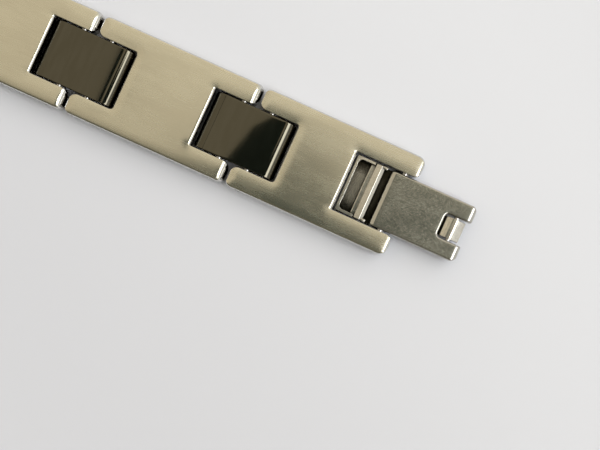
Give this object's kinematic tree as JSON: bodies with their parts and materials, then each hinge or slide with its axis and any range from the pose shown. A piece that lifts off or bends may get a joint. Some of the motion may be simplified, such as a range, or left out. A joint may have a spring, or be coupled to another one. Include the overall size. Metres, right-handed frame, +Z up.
{
  "type": "link watch bracelet",
  "caption": "Flat steel link bracelet of H-shaped links joined by black centre links on paired pins, with a hinged folding clasp.",
  "frame": {"origin": "under the middle of the bracelet's length and width, on the surface that it lies on", "axes": "+X along the bracelet towards its clasp, +Y across it, +Z up out of its outer face"},
  "size_m": [0.184, 0.015, 0.0035],
  "materials": {
    "link_steel": "brushed along the band, polished at the prong tips and edges",
    "black_coat": "glossy black coating on steel",
    "clasp_steel": "satin",
    "pin_steel": "plain turned"
  },
  "bodies": {
    "far_end_link": {"far_end_link": "link_steel", "link_pin_1a": "pin_steel"},
    "h_link_2": {"h_link_2": "link_steel", "link_pin_1b": "pin_steel", "link_pin_2a": "pin_steel"},
    "h_link_3": {"h_link_3": "link_steel", "link_pin_2b": "pin_steel", "link_pin_3a": "pin_steel"},
    "h_link_4": {"h_link_4": "link_steel", "link_pin_3b": "pin_steel", "link_pin_4a": "pin_steel"},
    "h_link_5": {"h_link_5": "link_steel", "link_pin_4b": "pin_steel", "link_pin_5a": "pin_steel"},
    "h_link_6": {"h_link_6": "link_steel", "link_pin_5b": "pin_steel", "link_pin_6a": "pin_steel"},
    "clasp_end_link": {"clasp_end_link": "link_steel", "link_pin_6b": "pin_steel", "tongue_hinge_pin": "pin_steel"},
    "centre_link_1": {"centre_link_1": "black_coat"},
    "centre_link_2": {"centre_link_2": "black_coat"},
    "centre_link_3": {"centre_link_3": "black_coat"},
    "centre_link_4": {"centre_link_4": "black_coat"},
    "centre_link_5": {"centre_link_5": "black_coat"},
    "centre_link_6": {"centre_link_6": "black_coat"},
    "clasp_tongue": {"clasp_tongue": "clasp_steel", "leaf_hinge_pin": "pin_steel"},
    "clasp_leaf": {"clasp_leaf": "clasp_steel", "leaf_tube": "clasp_steel"}
  },
  "joints": [
    {"name": "hinge_1a", "type": "hinge", "parent": "centre_link_1", "child": "far_end_link", "pos_m": [-0.06932, 0, 0.00175], "axis": [0, 1, 0], "range_deg": [-35, 12]},
    {"name": "hinge_1b", "type": "hinge", "parent": "h_link_2", "child": "centre_link_1", "pos_m": [-0.06498, 0, 0.00175], "axis": [0, 1, 0], "range_deg": [-35, 12]},
    {"name": "hinge_2a", "type": "hinge", "parent": "centre_link_2", "child": "h_link_2", "pos_m": [-0.04433, 0, 0.00175], "axis": [0, 1, 0], "range_deg": [-35, 12]},
    {"name": "hinge_2b", "type": "hinge", "parent": "h_link_3", "child": "centre_link_2", "pos_m": [-0.03997, 0, 0.00175], "axis": [0, 1, 0], "range_deg": [-35, 12]},
    {"name": "hinge_3a", "type": "hinge", "parent": "centre_link_3", "child": "h_link_3", "pos_m": [-0.01932, 0, 0.00175], "axis": [0, 1, 0], "range_deg": [-35, 12]},
    {"name": "hinge_3b", "type": "hinge", "parent": "h_link_4", "child": "centre_link_3", "pos_m": [-0.01498, 0, 0.00175], "axis": [0, 1, 0], "range_deg": [-35, 12]},
    {"name": "hinge_4a", "type": "hinge", "parent": "h_link_4", "child": "centre_link_4", "pos_m": [0.00568, 0, 0.00175], "axis": [0, 1, 0], "range_deg": [-12, 35]},
    {"name": "hinge_4b", "type": "hinge", "parent": "centre_link_4", "child": "h_link_5", "pos_m": [0.01002, 0, 0.00175], "axis": [0, 1, 0], "range_deg": [-12, 35]},
    {"name": "hinge_5a", "type": "hinge", "parent": "h_link_5", "child": "centre_link_5", "pos_m": [0.03068, 0, 0.00175], "axis": [0, 1, 0], "range_deg": [-12, 35]},
    {"name": "hinge_5b", "type": "hinge", "parent": "centre_link_5", "child": "h_link_6", "pos_m": [0.03503, 0, 0.00175], "axis": [0, 1, 0], "range_deg": [-12, 35]},
    {"name": "hinge_6a", "type": "hinge", "parent": "h_link_6", "child": "centre_link_6", "pos_m": [0.05568, 0, 0.00175], "axis": [0, 1, 0], "range_deg": [-12, 35]},
    {"name": "hinge_6b", "type": "hinge", "parent": "centre_link_6", "child": "clasp_end_link", "pos_m": [0.06003, 0, 0.00175], "axis": [0, 1, 0], "range_deg": [-12, 35]},
    {"name": "tongue_hinge", "type": "hinge", "parent": "clasp_end_link", "child": "clasp_tongue", "pos_m": [0.08067, 0, 0.00175], "axis": [0, 1, 0], "range_deg": [0, 180]},
    {"name": "leaf_hinge", "type": "hinge", "parent": "clasp_tongue", "child": "clasp_leaf", "pos_m": [0.08987, 0, 0.00215], "axis": [0, 1, 0], "range_deg": [-180, 0]}
  ]
}
